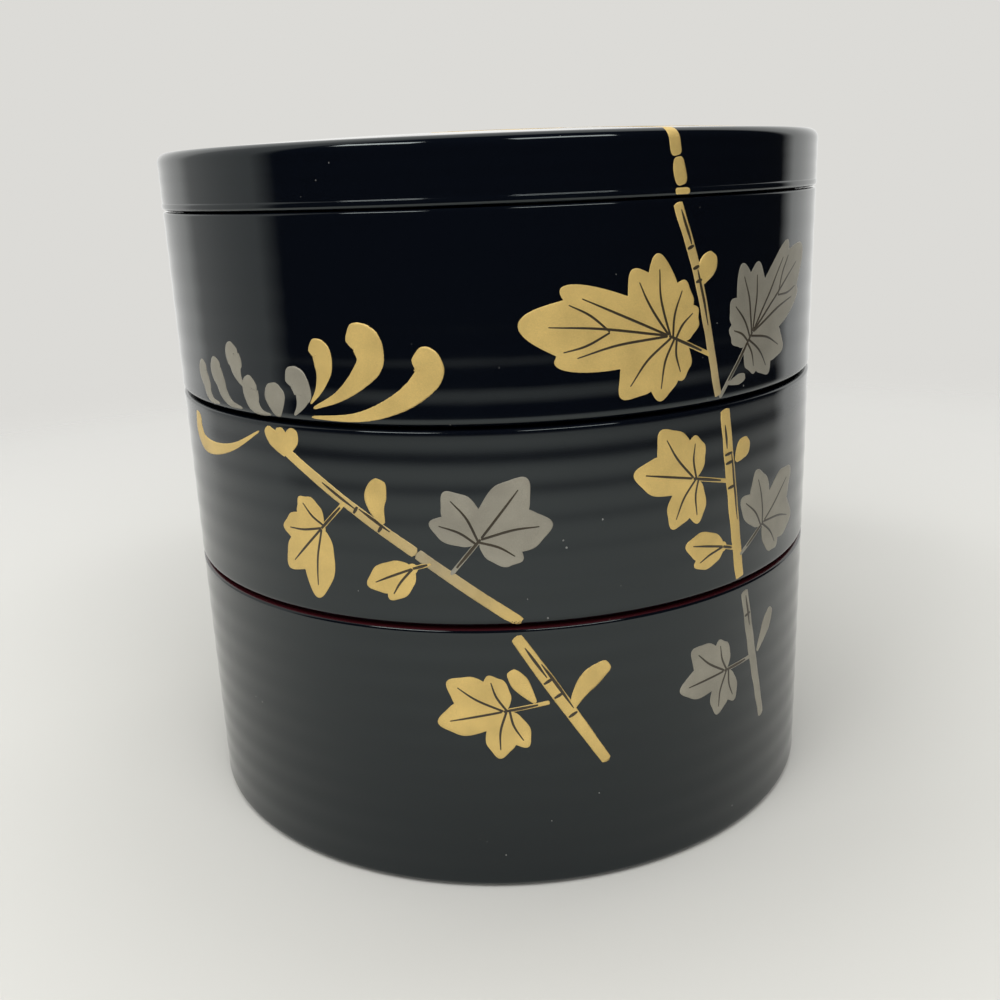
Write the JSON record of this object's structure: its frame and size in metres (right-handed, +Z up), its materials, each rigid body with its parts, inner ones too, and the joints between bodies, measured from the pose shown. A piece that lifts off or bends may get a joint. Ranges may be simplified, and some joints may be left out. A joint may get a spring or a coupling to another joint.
{
  "type": "tiered trinket box",
  "caption": "Round stacking box of black lacquered wood with shallow turned ribs, open tiers that rest on one another, a lift-off lid and gold and silver flower sprays.",
  "frame": {"origin": "middle of the bottom tier's underside, on the surface it stands on", "axes": "+Z up along the turning axis, -Y towards the decorated front"},
  "size_m": [0.1824, 0.1824, 0.1848],
  "materials": {
    "black_lacquer": "polished black lacquer on turned wood, dark red inside and on the rims",
    "gold_picture": "burnished gold powder set in lacquer"
  },
  "bodies": {
    "root": {"tier_bottom": "black_lacquer", "tier_middle": "black_lacquer", "tier_top": "black_lacquer", "lid": "black_lacquer"}
  },
  "joints": []
}
